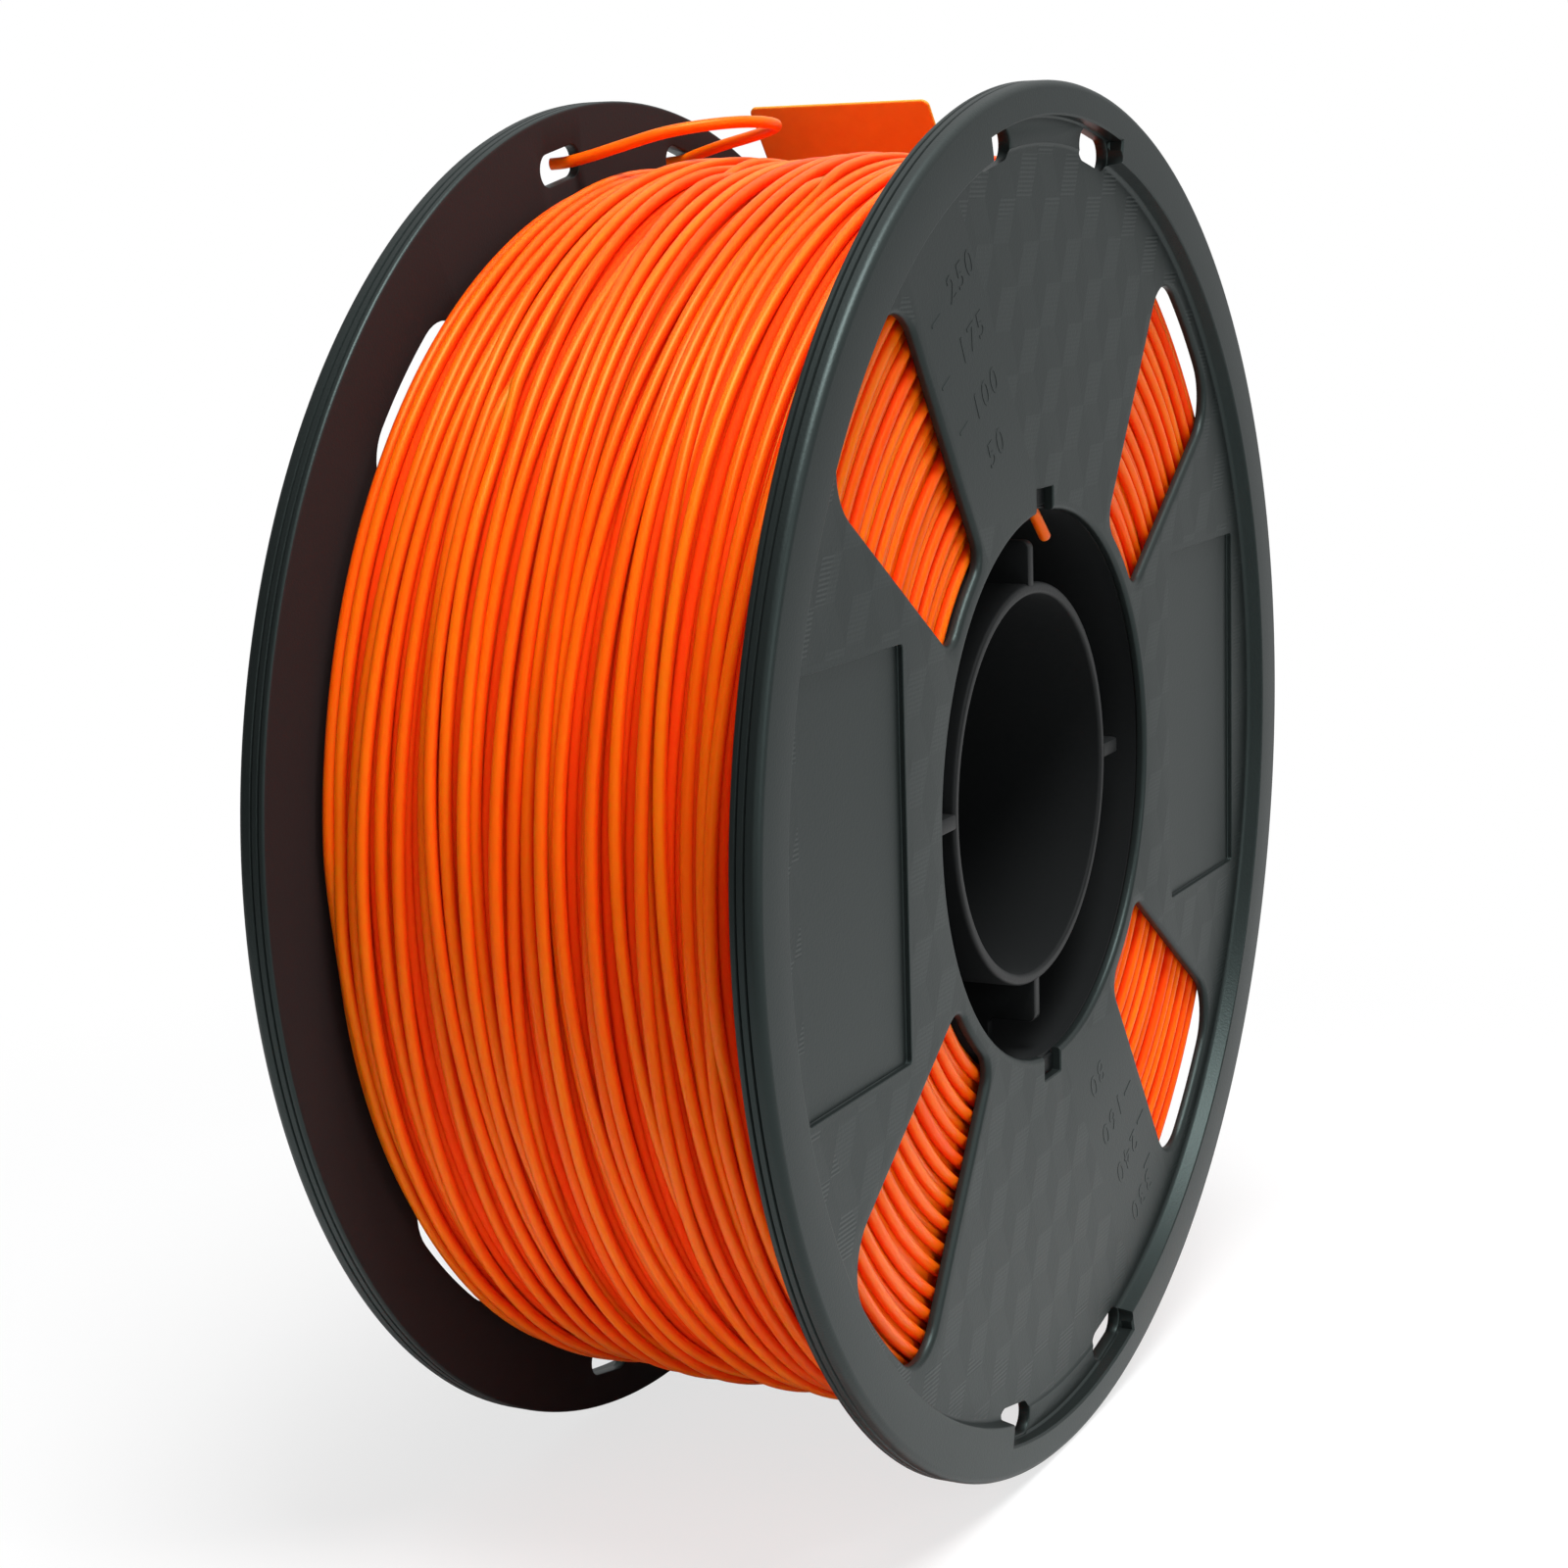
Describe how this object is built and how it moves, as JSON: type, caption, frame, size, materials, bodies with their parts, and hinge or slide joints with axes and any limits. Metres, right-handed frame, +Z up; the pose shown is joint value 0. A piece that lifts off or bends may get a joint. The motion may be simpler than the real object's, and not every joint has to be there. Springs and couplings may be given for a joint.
{
  "type": "filament spool",
  "caption": "Filament spool: two windowed disc flanges on a hub drum with a through bore, wound with orange plastic filament, its free end looped through tie holes.",
  "frame": {"origin": "centre of the bore, half way between the flanges", "axes": "+Y along the bore towards the rear flange, +Z up, with the flanges' windows on the diagonals of X and Z"},
  "size_m": [0.2, 0.074, 0.2],
  "materials": {
    "flange_plastic": "fine moulded texture",
    "hub_plastic": "smooth moulded",
    "filament": "satin extruded",
    "card": "plain"
  },
  "bodies": {
    "root": {"front_flange": "flange_plastic", "rear_flange": "flange_plastic", "hub_drum": "hub_plastic", "filament_core": "filament", "filament_outer_layer": "filament", "filament_tail": "filament", "filament_start": "filament", "colour_card": "card"}
  },
  "joints": []
}
